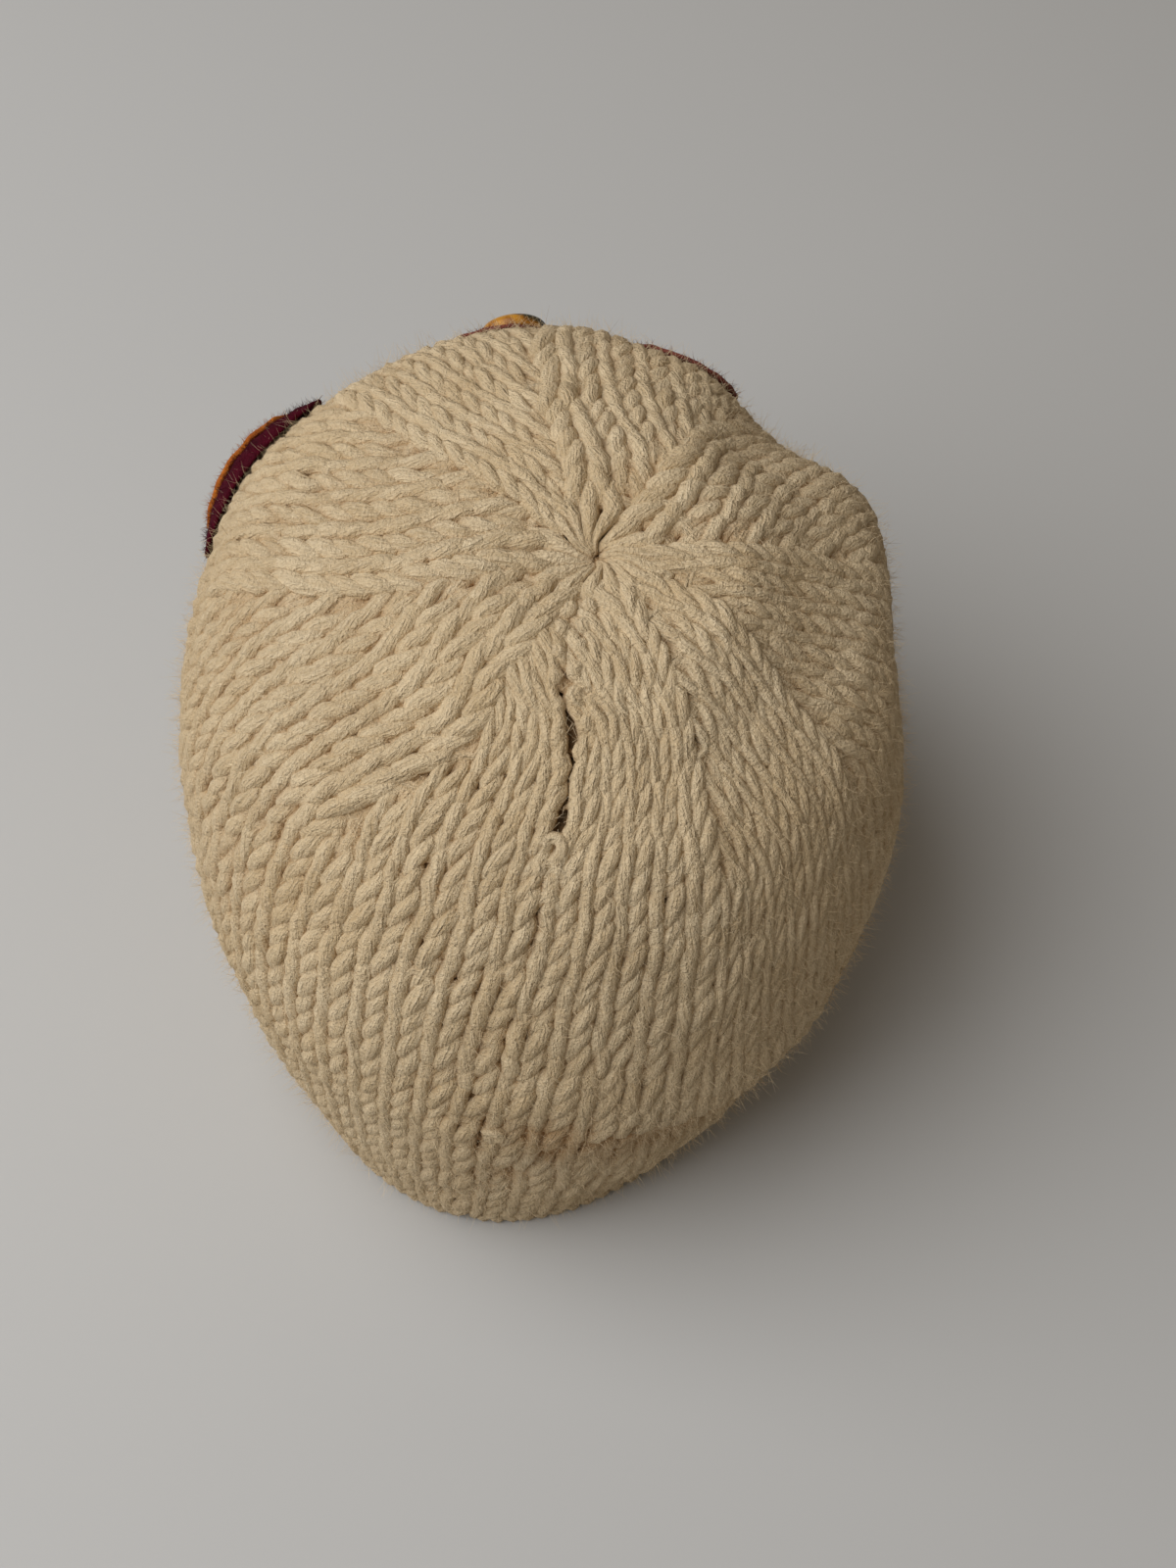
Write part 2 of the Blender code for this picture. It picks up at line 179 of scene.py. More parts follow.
def seamWale(level):  # the seam's place in its section, in wales
    level = np.asarray(level, float)
    left = walesLeft(np.full(level.shape, hat["seamSection"]), level)
    return np.minimum(np.interp(level, seamWales[:, 0], seamWales[:, 1]), left)


def seamTurn(level):
    level = np.asarray(level, float)
    return waleToTurn(np.full(level.shape, hat["seamSection"]), seamWale(level), level)


def dimpled(level, end):  # how far the gathered top sinks in
    return hat["dimple"] * np.clip((level - hat["dimpleStart"]) / (end - hat["dimpleStart"]), 0, 1) ** 2


seamWales = np.array((  # level, and how many wales of its section lie to the seam's right
    (0.00, 5.0), (0.765, 5.0), (0.82, 4.2), (0.87, 3.1), (0.90, 2.35), (0.93, 1.4), (0.945, 1.0), (1.00, 1.0),
))
# The form is made round the origin first, then moved to the middle of the CAD's knit
shift = (0.0, 0.0)
bodyLow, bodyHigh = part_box("knit_body")
everyTurn, bodyLevels = np.meshgrid(np.arange(0, 360, 3), np.linspace(0.22, 0.95, 40))
formPoints = hatPoint(everyTurn, bodyLevels).reshape(-1, 3)
middle = 0.5 * (formPoints.min(0) + formPoints.max(0))
shift = tuple(0.5 * (bodyLow[i] + bodyHigh[i]) - middle[i] for i in (0, 1))

# How far the wool has felted together: 0 is crisp, 1 is a smooth felt; it also turns the wool's colour
# darker, partly as painted shade
feltedSpots = (
    (330.0, 0.26, 0.58, 26.0, 0.10),
    (308.0, 0.33, 0.58, 26.0, 0.15),
    (290.0, 0.50, 0.34, 26.0, 0.16),
    (82.0, 0.44, 0.42, 32.0, 0.20),
    (118.0, 0.50, 0.42, 34.0, 0.15),
    (165.0, 0.50, 0.30, 34.0, 0.13),
    (205.0, 0.56, 0.26, 45.0, 0.14),
    (8.0, 0.20, 0.16, 28.0, 0.08),
    (48.0, 0.12, -0.30, 22.0, 0.12),
)
feltedBand = dict(amount=0.36, full=0.12, none=0.30, least=0.08, most=0.92)

# How far places sink below the surface, or rise above it where below 0, in mm: the fold over the band
creases = (
    (347.0, 0.295, 1.9, 7.0, 0.030),
    (336.0, 0.245, 2.2, 9.0, 0.030),
    (322.0, 0.195, 2.4, 10.0, 0.030),
    (308.0, 0.160, 2.0, 10.0, 0.030),
    (344.0, 0.360, -1.1, 8.0, 0.030),
    (332.0, 0.315, -1.3, 9.0, 0.028),
    (318.0, 0.265, -1.3, 10.0, 0.028),
    (304.0, 0.225, -1.0, 10.0, 0.028),
    (346.5, 0.225, 2.6, 2.6, 0.020),
    (352.5, 0.180, 2.2, 2.6, 0.020),
)


def creased(turn, level):
    return 0.001 * spots(creases, turn, level)


def felting(turn, level):
    low = np.clip((feltedBand["none"] - level) / (feltedBand["none"] - feltedBand["full"]), 0, 1)
    return np.clip(feltedBand["least"] + feltedBand["amount"] * eased(low)
                   + spots(feltedSpots, turn, level), 0, feltedBand["most"])


# The seam's two edges at some levels: how wide it gapes, and how far it strays to the wearer's left
# beside the nearest stitches and with all the knit around it, in millimetres
slitRows = np.array((
    (0.00, 0.0, 0.0, 6.0), (0.20, 0.1, 0.0, 5.4), (0.24, 1.4, 0.5, 4.6), (0.285, 1.5, 0.2, 4.1),
    (0.33, 0.6, -0.3, 3.1), (0.37, 0.7, -0.3, 1.6), (0.41, 0.5, 0.2, 0.9), (0.46, 0.4, -0.3, 0.4),
    (0.53, 0.4, 0.3, -1.0), (0.56, 1.9, 0.3, -1.6), (0.59, 2.2, 0.4, -1.8), (0.61, 1.0, 0.2, -2.4),
    (0.632, 0.1, 0.0, -3.2), (0.652, 1.2, -0.2, -4.0), (0.67, 3.0, -0.3, -4.7), (0.70, 3.0, 0.2, -5.7),
    (0.72, 1.9, 0.4, -6.1), (0.745, 2.1, 0.3, -6.0), (0.765, 3.1, 0.0, -4.8), (0.785, 3.0, -0.3, -2.9),
    (0.81, 2.2, -0.3, 0.0), (0.84, 1.7, 0.1, 0.5), (0.87, 1.9, 0.3, 0.0), (0.905, 1.8, -0.3, 0.3),
    (0.93, 1.2, 0.0, -0.8), (0.957, 0.3, 0.0, -0.6), (1.00, 0.0, 0.0, 0.0),
))
slitReach, driftReach, leastDegree = 0.0085, 0.032, 2e-5


def seamShape(level):  # the gap, the near stray and the far stray in metres
    return [0.001 * np.interp(level, slitRows[:, 0], slitRows[:, k]) for k in (1, 2, 3)]


def openSeam(turn, level, side):  # moves a place with the seam, and away from where it gapes
    gap, near, far = seamShape(level)
    metres = degreeLength(turn, level)
    away = wrapped(turn - seamTurn(level)) * metres
    fade, farFade = np.exp(-(away / slitReach) ** 2), np.exp(-(away / driftReach) ** 2)
    return turn + ((side * 0.5 * gap + near) * fade + far * farFade) / np.maximum(metres, leastDegree)


def besideSeam(level, aside, depth):  # places by the seam, this far to the wearer's left of it
    level = np.asarray(level, float)
    turn = seamTurn(level)
    gap, near, far = seamShape(level)
    turn = turn + (aside + near + far) / degreeLength(turn, level)
    normal = outward(turn, level)
    return hatPoint(turn, level) - normal * np.asarray(depth)[..., None], normal


print("tools: node trees for yarn and fuzz")


def put(tree, kind, feeds=None, **props):  # adds a node, then links or sets its sockets
    node = tree.nodes.new(kind)
    for name, value in props.items():
        setattr(node, name, value)
    for socket, value in (feeds or {}).items():
        if isinstance(value, bpy.types.NodeSocket):
            tree.links.new(value, node.inputs[socket])
        else:
            node.inputs[socket].default_value = value
    return node


def changed(tree, kind, geometry, **feeds):  # a geometry after one more node
    return put(tree, "GeometryNode" + kind, {"Geometry": geometry, **feeds}).outputs[0]


def capture(tree, geometry, **fields):  # keeps fields on a geometry: the geometry, then each field
    node = put(tree, "GeometryNodeCaptureAttribute", {"Geometry": geometry}, domain="POINT")
    for name, (kind, _) in fields.items():
        node.capture_items.new(kind, name)
    for name, (_, value) in fields.items():
        tree.links.new(value, node.inputs[name])
    return [node.outputs[0]] + [node.outputs[name] for name in fields]


def attribute(tree, name, kind="FLOAT"):
    return put(tree, "GeometryNodeInputNamedAttribute", {"Name": name}, data_type=kind).outputs["Attribute"]


def store(tree, geometry, name, value, kind="FLOAT", domain="POINT"):
    feeds = {"Geometry": geometry, "Name": name, "Value": value}
    return put(tree, "GeometryNodeStoreNamedAttribute", feeds, data_type=kind, domain=domain).outputs[0]


def sums(tree, how, *values, **more):
    return put(tree, "ShaderNodeMath", dict(enumerate(values)), operation=how, **more).outputs[0]


def times(tree, one, other):
    return sums(tree, "MULTIPLY", one, other)


def vectors(tree, how, *values):
    node = put(tree, "ShaderNodeVectorMath", dict(enumerate(values)), operation=how)
    return node.outputs["Value" if how == "DOT_PRODUCT" else "Vector"]


def scaled(tree, vector, size):
    return put(tree, "ShaderNodeVectorMath", {0: vector, "Scale": size}, operation="SCALE").outputs["Vector"]


def newTree(kind, name, inputs, outputs):
    tree = bpy.data.node_groups.new(name, kind)
    for way, sockets in (("INPUT", inputs), ("OUTPUT", outputs)):
        for label, what in sockets.items():
            tree.interface.new_socket(label, in_out=way, socket_type="NodeSocket" + what)
    return tree, put(tree, "NodeGroupInput").outputs


def endTree(tree, geometry, material, output):
    geometry = changed(tree, "SetShadeSmooth", geometry)
    geometry = changed(tree, "RealizeInstances", geometry)
    geometry = changed(tree, "SetMaterial", geometry, Material=material)
    put(tree, "NodeGroupOutput", {output: geometry})
    return tree


def tubeAlong(tree, path, profile, radius):
    return put(tree, "GeometryNodeCurveToMesh", {
        "Curve": path, "Profile Curve": profile, "Scale": radius, "Fill Caps": True}).outputs[0]


def circle(tree, sides):
    return put(tree, "GeometryNodeCurvePrimitiveCircle", {"Resolution": sides, "Radius": 1.0}).outputs[0]


def yarnFromPath():  # a round yarn along each path, with what its wool needs
    tree, given = newTree("GeometryNodeTree", "yarnFromPath", {
        "path": "Geometry", "sides": "Int", "twist": "Float", "lumps": "Float", "lumpScale": "Float",
        "creviceDepth": "Float", "wool": "Material"}, {"yarn": "Geometry"})
    spline = put(tree, "GeometryNodeSplineParameter").outputs["Length"]
    here = put(tree, "GeometryNodeInputPosition").outputs[0]
    path = put(tree, "GeometryNodeMeshToCurve", {"Mesh": given["path"]}).outputs[0]
    path, along, centre = capture(tree, path, along=("FLOAT", spline), centre=("VECTOR", here))
    profile, around = capture(tree, circle(tree, given["sides"]), around=("VECTOR", here))
    radius = attribute(tree, "yarnRadius")
    tube = tubeAlong(tree, path, profile, radius)
    aside = vectors(tree, "SUBTRACT", here, centre)
    lumps = put(tree, "ShaderNodeTexNoise", {"Vector": here, "Scale": given["lumpScale"], "Detail": 2.0})
    swell = times(tree, sums(tree, "SUBTRACT", lumps.outputs[0], 0.5), given["lumps"])
    tube = changed(tree, "SetPosition", tube, Offset=scaled(tree, aside, swell))
    split = put(tree, "ShaderNodeSeparateXYZ", {0: around}).outputs
    angle = sums(tree, "ADD", sums(tree, "ARCTAN2", split[1], split[0]),
                 times(tree, along, given["twist"]))
    spun = put(tree, "ShaderNodeCombineXYZ", {
        0: along,
        1: times(tree, radius, sums(tree, "COSINE", angle)),
        2: times(tree, radius, sums(tree, "SINE", angle))}).outputs[0]
    # how far each place sinks below the crests, kept for the wool's painted crevice shade
    raised = vectors(tree, "DOT_PRODUCT", aside, attribute(tree, "hatNormal", "FLOAT_VECTOR"))
    sunk = sums(tree, "SUBTRACT", attribute(tree, "depth"), raised)
    creviceShade = sums(tree, "DIVIDE", sunk, given["creviceDepth"], use_clamp=True)
    tube = store(tree, tube, "yarnPlace", spun, "FLOAT_VECTOR")
    tube = store(tree, tube, "creviceShade", creviceShade)
    return endTree(tree, tube, given["wool"], "yarn")


def randomValue(tree, kind, feeds, output):
    return put(tree, "FunctionNodeRandomValue", feeds, data_type=kind).outputs[output]


def fuzzFromSurface(shortest=0.35, tipThinning=0.8, swirlScale=260.0):  # loose fibres off a surface
    tree, given = newTree("GeometryNodeTree", "fuzzFromSurface", {
        "surface": "Geometry", "density": "Float", "length": "Float", "thickness": "Float", "lift": "Float",
        "curl": "Float", "sink": "Float", "pieces": "Int", "seed": "Int", "wool": "Material"},
        {"fuzz": "Geometry"})
    here = put(tree, "GeometryNodeInputPosition").outputs[0]
    spread = put(tree, "GeometryNodeDistributePointsOnFaces", {
        "Mesh": given["surface"], "Seed": given["seed"],
        "Density": times(tree, given["density"], attribute(tree, "fuzz"))})
    aside = randomValue(tree, "FLOAT_VECTOR", {0: (-1.0, -1.0, -1.0), 1: (1.0, 1.0, 1.0), "Seed": 1}, 0)
    lift = scaled(tree, spread.outputs["Normal"], given["lift"])
    facing = put(tree, "FunctionNodeAlignRotationToVector",
                 {"Vector": vectors(tree, "ADD", aside, lift)}, axis="Z").outputs[0]
    size = randomValue(tree, "FLOAT", {2: shortest, 3: 1.0, "Seed": 2}, 1)
    shade = randomValue(tree, "FLOAT", {2: 0.0, 3: 1.0, "Seed": 3}, 1)
    start = put(tree, "ShaderNodeCombineXYZ", {2: given["sink"]}).outputs[0]
    line = put(tree, "GeometryNodeCurvePrimitiveLine", {"Start": start, "End": (0.0, 0.0, 1.0)}).outputs[0]
    line = put(tree, "GeometryNodeResampleCurve", {"Curve": line, "Count": given["pieces"]}).outputs[0]
    fibres = put(tree, "GeometryNodeInstanceOnPoints", {
        "Points": spread.outputs["Points"], "Instance": line, "Rotation": facing,
        "Scale": times(tree, size, given["length"])}).outputs[0]
    fibres = store(tree, fibres, "fibre", shade, domain="INSTANCE")
    fibres = changed(tree, "RealizeInstances", fibres)
    tip = put(tree, "GeometryNodeSplineParameter").outputs["Factor"]
    swirl = put(tree, "ShaderNodeTexNoise", {"Vector": here, "Scale": swirlScale, "Detail": 1.0})
    bent = scaled(tree, vectors(tree, "SUBTRACT", swirl.outputs["Color"], (0.5, 0.5, 0.5)),
                  times(tree, given["curl"], tip))
    fibres = changed(tree, "SetPosition", fibres, Offset=bent)
    left = sums(tree, "SUBTRACT", 1.0, times(tree, tip, tipThinning))
    thin = times(tree, given["thickness"], left)
    return endTree(tree, tubeAlong(tree, fibres, circle(tree, 3), thin), given["wool"], "fuzz")


def grown(name, mesh, tree, **values):  # runs a tree on a mesh and keeps the result as a plain piece
    source = linked(name + "Source", mesh)
    modifier = source.modifiers.new("tree", "NODES")
    modifier.node_group = tree
    for item in tree.interface.items_tree:
        if item.in_out == "INPUT" and item.name in values:
            modifier[item.identifier] = values[item.name]
    graph = bpy.context.evaluated_depsgraph_get()
    result = bpy.data.meshes.new_from_object(source.evaluated_get(graph), preserve_all_data_layers=True,
                                             depsgraph=graph)
    bpy.data.objects.remove(source)
    return added(name, result)


def linked(name, data):
    thing = bpy.data.objects.new(name, data)
    bpy.context.scene.collection.objects.link(thing)
    return thing


def added(name, mesh):
    piece = linked(name, mesh)
    triangles = sum(len(face.vertices) - 2 for face in mesh.polygons)
    print("  ", name, triangles, "triangles")
    return piece


def keep(mesh, name, values, kind="FLOAT"):
    layer = mesh.attributes.new(name, kind, "POINT")
    layer.data.foreach_set("vector" if kind == "FLOAT_VECTOR" else "value",
                           np.asarray(values, np.float32).ravel())


def pathMesh(name, paths):  # each path: dict of point, normal, radius, depth, tone, felting
    mesh = bpy.data.meshes.new(name)
    points = np.concatenate([path["point"] for path in paths])
    edges, first = [], 0
    for path in paths:
        count = len(path["point"])
        edges += [(first + i, first + i + 1) for i in range(count - 1)]
        first += count
    mesh.from_pydata(points.tolist(), edges, [])
    keep(mesh, "hatNormal", np.concatenate([path["normal"] for path in paths]), "FLOAT_VECTOR")
    keep(mesh, "yarnRadius", np.concatenate([path["radius"] for path in paths]))
    for field in ("depth", "tone", "felting"):
        keep(mesh, field, np.concatenate([path[field] for path in paths]))
    return mesh


print("materials: wool, felt and button")
wool = dict(  # colours, how much each effect shows, and where the painted crevice shade starts and is full
    pale=(0.86, 0.705, 0.475, 1), mid=(0.52, 0.375, 0.205, 1), yellowed=(0.67, 0.475, 0.245, 1),
    # the felted colour is the matted wool's greyer tone, darkened partly as painted shade
    felted=(0.53, 0.41, 0.262, 1), creviceShade=(0.38, 0.18, 0.050, 1), darkFibre=(0.12, 0.07, 0.035, 1),
    toneShare=0.40, streakShare=0.80, patchScale=34.0, patchShare=0.20, feltedAndShadeShare=0.45, creviceShare=0.85,
    creviceFrom=0.15, creviceFull=0.64, creviceShape=1.15, creviceDepth=0.0052, bump=0.9, bumpDepth=0.0011)
spun = dict(  # noise scales along and across the yarn, and the strands that it is twisted of
    coarse=(110.0, 820.0, 820.0), fine=(260.0, 1900.0, 1900.0), tangle=1250.0, hairs=(190.0, 2300.0, 2300.0),
    strands=3, strandShape=0.6, feltedAway=0.5)
feltLook = dict(scale=260.0, specks=8, bump=0.6, bumpDepth=0.0007, sheen=0.04)
amberLook = dict(scale=420.0, honey=(0.56, 0.26, 0.025, 1), brown=(0.30, 0.11, 0.015, 1),
                 dark=(0.045, 0.035, 0.012, 1), amberTo=0.80, darkFrom=0.46, cloudShare=0.55)


def ranged(tree, value, low, high):  # 0 at low and 1 at high
    return put(tree, "ShaderNodeMapRange", {0: value, 1: low, 2: high}).outputs[0]


def noise(tree, place, scale, detail):  # the scale is one number, or one for each way
    if isinstance(scale, tuple):
        place, scale = vectors(tree, "MULTIPLY", place, scale), 1.0
    return put(tree, "ShaderNodeTexNoise", {"Vector": place, "Scale": scale, "Detail": detail}).outputs[0]


def grain(tree, place, scale, detail, low=0.35, high=0.65):
    return ranged(tree, noise(tree, place, scale, detail), low, high)


def weighed(tree, *parts):  # the sum of some masks, each with its weight
    total = 0.0
    for mask, weight in parts:
        total = sums(tree, "MULTIPLY_ADD", mask, weight, total)
    return total


def blended(tree, share, first, second):
    node = tree.nodes.new("ShaderNodeMix")
    node.data_type, node.clamp_factor = "RGBA", True
    for index, value in ((0, share), (6, first), (7, second)):
        if isinstance(value, bpy.types.NodeSocket):
            tree.links.new(value, node.inputs[index])
        else:
            node.inputs[index].default_value = value
    return node.outputs[2]


def spunFibres():  # height and streaks of loosely spun fibres along a yarn
    tree, given = newTree("ShaderNodeTree", "spunFibres", {
        "Place": "Vector", "Object Place": "Vector", "Felting": "Float", "Strands": "Float"},
        {"Height": "Float", "Streak": "Float"})
    coarse = grain(tree, given["Place"], spun["coarse"], 2.0, 0.32, 0.68)
    fine = grain(tree, given["Place"], spun["fine"], 2.0, 0.34, 0.66)
    tangle = grain(tree, given["Object Place"], spun["tangle"], 4.0, 0.34, 0.66)
    hairs = 0.0
    for way in range(3):
        stretch = spun["hairs"][way:] + spun["hairs"][:way]
        hairs = sums(tree, "MAXIMUM", hairs, noise(tree, given["Object Place"], stretch, 1.0))
    hairs = ranged(tree, hairs, 0.56, 0.74)
    split = put(tree, "ShaderNodeSeparateXYZ", {0: given["Place"]}).outputs
    angle = sums(tree, "ARCTAN2", split[1], split[2])
    ply = sums(tree, "ABSOLUTE", sums(tree, "SINE", times(tree, angle, 0.5 * spun["strands"])))
    ply = times(tree, sums(tree, "POWER", ply, spun["strandShape"]), given["Strands"])
    crisp = weighed(tree, (coarse, 0.34), (fine, 0.26), (ply, 0.42))
    loose = weighed(tree, (tangle, 0.36), (hairs, 0.20))
    left = sums(tree, "SUBTRACT", 1.0, times(tree, given["Felting"], spun["feltedAway"]))
    put(tree, "NodeGroupOutput", {"Height": sums(tree, "MULTIPLY_ADD", crisp, left, loose),
                                  "Streak": weighed(tree, (coarse, 0.34), (fine, 0.38), (hairs, 0.40))})
    return tree


def woolTint():  # the undyed wool's colour: tone, painted shade in crevices, felting that partly stands in for shade, streaks
    tree, given = newTree("ShaderNodeTree", "woolTint", {
        "Streak": "Float", "Tone": "Float", "Crevice": "Float", "Felting": "Float", "Object Place": "Vector"},
        {"Color": "Color"})
    light = weighed(tree, (given["Streak"], wool["streakShare"]), (given["Tone"], wool["toneShare"]))
    patch = grain(tree, given["Object Place"], wool["patchScale"], 2.0)
    sunk = ranged(tree, given["Crevice"], wool["creviceFrom"], wool["creviceFull"])
    base = blended(tree, light, wool["mid"], wool["pale"])
    base = blended(tree, times(tree, patch, wool["patchShare"]), base, wool["yellowed"])
    # felted places take the felted colour: partly the matted wool's own tone, partly painted shade
    base = blended(tree, times(tree, given["Felting"], wool["feltedAndShadeShare"]), base, wool["felted"])
    # painted shade: the colour turns dark brown as the wool sinks into a crevice
    shadow = times(tree, sums(tree, "POWER", sunk, wool["creviceShape"]), wool["creviceShare"])
    put(tree, "NodeGroupOutput", {"Color": blended(tree, shadow, base, wool["creviceShade"])})
    return tree


fibreGroup, tintGroup = spunFibres(), woolTint()


def surface(name, roughness, **fixed):  # a new material with its Principled shader and object place
    material = bpy.data.materials.new(name)
    material.use_nodes = True
    tree = material.node_tree
    shader = tree.nodes["Principled BSDF"]
    shader.inputs["Roughness"].default_value = roughness
    for label, value in fixed.items():
        shader.inputs[label.replace("_", " ")].default_value = value
    return material, tree, shader, put(tree, "ShaderNodeTexCoord").outputs["Object"]


def grouped(tree, what, feeds):
    return put(tree, "ShaderNodeGroup", feeds, node_tree=what).outputs


def read(tree, name, output="Fac"):
    return put(tree, "ShaderNodeAttribute", attribute_name=name).outputs[output]


def bumped(tree, shader, height, strength, depth):
    relief = put(tree, "ShaderNodeBump", {"Strength": strength, "Distance": depth, "Height": height})
    tree.links.new(relief.outputs[0], shader.inputs["Normal"])


def woolYarn(name, strands):
    material, tree, shader, place = surface(name, 0.95, Specular_IOR_Level=0.1, Sheen_Weight=0.13,
                                            Sheen_Roughness=0.5, Sheen_Tint=(1.0, 0.82, 0.58, 1))
    felted = read(tree, "felting")
    fibres = grouped(tree, fibreGroup, {"Place": read(tree, "yarnPlace", "Vector"), "Object Place": place,
                                        "Felting": felted, "Strands": strands})
    tint = grouped(tree, tintGroup, {
        "Streak": fibres["Streak"], "Tone": read(tree, "tone"), "Felting": felted,
        "Crevice": read(tree, "creviceShade"), "Object Place": place})
    tree.links.new(tint["Color"], shader.inputs["Base Color"])
    bumped(tree, shader, fibres["Height"], wool["bump"], wool["bumpDepth"])
    return material


def felt(name, color, other):  # cut felt: matted short fibres in two close colours
    material, tree, shader, place = surface(name, 0.95, Specular_IOR_Level=0.1, Sheen_Roughness=0.6,
                                            Sheen_Weight=feltLook["sheen"], Sheen_Tint=color)
    blotch = grain(tree, place, feltLook["scale"], 4.0)
    speck = grain(tree, place, feltLook["scale"] * feltLook["specks"], 3.0)
    tint = blended(tree, weighed(tree, (speck, 0.4), (blotch, 0.5)), color, other)
    tree.links.new(tint, shader.inputs["Base Color"])
    bumped(tree, shader, weighed(tree, (speck, 1.0), (blotch, 0.6)), feltLook["bump"], feltLook["bumpDepth"])
    return material


def amber(name):  # a polished button, amber by the hat and mottled dark on its outer face
    material, tree, shader, place = surface(name, 0.36, Coat_Weight=0.12, Coat_Roughness=0.12,
                                            Specular_IOR_Level=0.25)
    cloud = grain(tree, place, amberLook["scale"], 4.0)
    across = put(tree, "ShaderNodeSeparateXYZ", {0: place}).outputs[1]
    low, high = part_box("front_button")
    ends = [low.y + amberLook[end] * (high.y - low.y) for end in ("amberTo", "darkFrom")]
    outer = ranged(tree, across, *ends)
    dark = ranged(tree, sums(tree, "MULTIPLY_ADD", cloud, amberLook["cloudShare"], outer), 0.70, 1.10)
    honey = blended(tree, cloud, amberLook["honey"], amberLook["brown"])
    tree.links.new(blended(tree, dark, honey, amberLook["dark"]), shader.inputs["Base Color"])
    return material


def woolFuzz(name):  # pale fibres, with one dark one among many
    material, tree, shader, place = surface(name, 0.9, Specular_IOR_Level=0.1)
    fibre = read(tree, "fibre")
    tint = grouped(tree, tintGroup, {"Streak": 0.8, "Tone": fibre, "Felting": 0.2, "Crevice": 0.0,
                                     "Object Place": place})
    dark = times(tree, ranged(tree, fibre, 0.990, 0.995), 0.8)
    tree.links.new(blended(tree, dark, tint["Color"], wool["darkFibre"]), shader.inputs["Base Color"])
    return material


woolYarnMaterial = woolYarn("woolYarn", 1.0)
woolCoreMaterial = woolYarn("woolCore", 0.0)
woolFuzzMaterial = woolFuzz("woolFuzz")
feltMaterials = dict(
    burgundy=felt("burgundyFelt", (0.092, 0.003, 0.014, 1), (0.036, 0.0015, 0.006, 1)),
    orange=felt("orangeFelt", (0.60, 0.19, 0.02, 1), (0.36, 0.085, 0.02, 1)),
    rust=felt("rustFelt", (0.27, 0.085, 0.06, 1), (0.15, 0.04, 0.035, 1)),
    olive=felt("oliveFelt", (0.20, 0.14, 0.04, 1), (0.11, 0.065, 0.02, 1)),
)
amberMaterial = amber("amberButton")

print("stitches: rows of stockinette from the rim to the gather")
stitch = dict(rowHeight=0.0061, reach=1.0, opening=1.2, lean=-0.21, leanMost=0.4, radius=0.0026, fill=0.272,
              relief=0.0009, fullWale=0.0095, reliefLeast=0.45, feltedFlat=0.35, feltedSink=0.0003,
              least=0.0011, samples=14, leastWidth=0.25, waist=0.14, halfThin=0.2, sinkClosing=0.0018,
              raiseChain=0.0004, floorGap=0.0002, lowest=0.013, highest=0.994, seed=7)
yarn = dict(sides=8, twist=120.0, lumps=0.5, lumpScale=330.0, creviceDepth=wool["creviceDepth"],
            wool=woolYarnMaterial)
uneven = dict(radius=0.08, tone=0.28, across=0.05, along=0.07, depth=0.0003, reach=0.05, opening=0.06)
rows = dict(bottom=0.004, bandTop=0.21, band=7, side=12, crown=13)
gather = dict(level=0.9595, levelStep=0.0305, reach=1.15, opening=0.42, samples=26)
woolYarnTree, fuzzTree = yarnFromPath(), fuzzFromSurface()


def rowLevels(low, high, count):
    return low + (np.arange(count) + 0.5) * (high - low) / count


def stitchesOfRow(level):  # (section, wale, width) from the seam round to the seam
    def section(index, first, last):
        found = []
        while last - first > stitch["leastWidth"]:
            found.append((index, first, min(1.0, last - first)))
            first += 1
        return found

    last = hat["seamSection"]
    seam = float(seamWale(level))
    row = section(last, seam, float(walesLeft(last, level)))
    for index in range(len(decreaseLines)):
        row += section(index, 0, seam if index == last else float(walesLeft(index, level)))
    return row


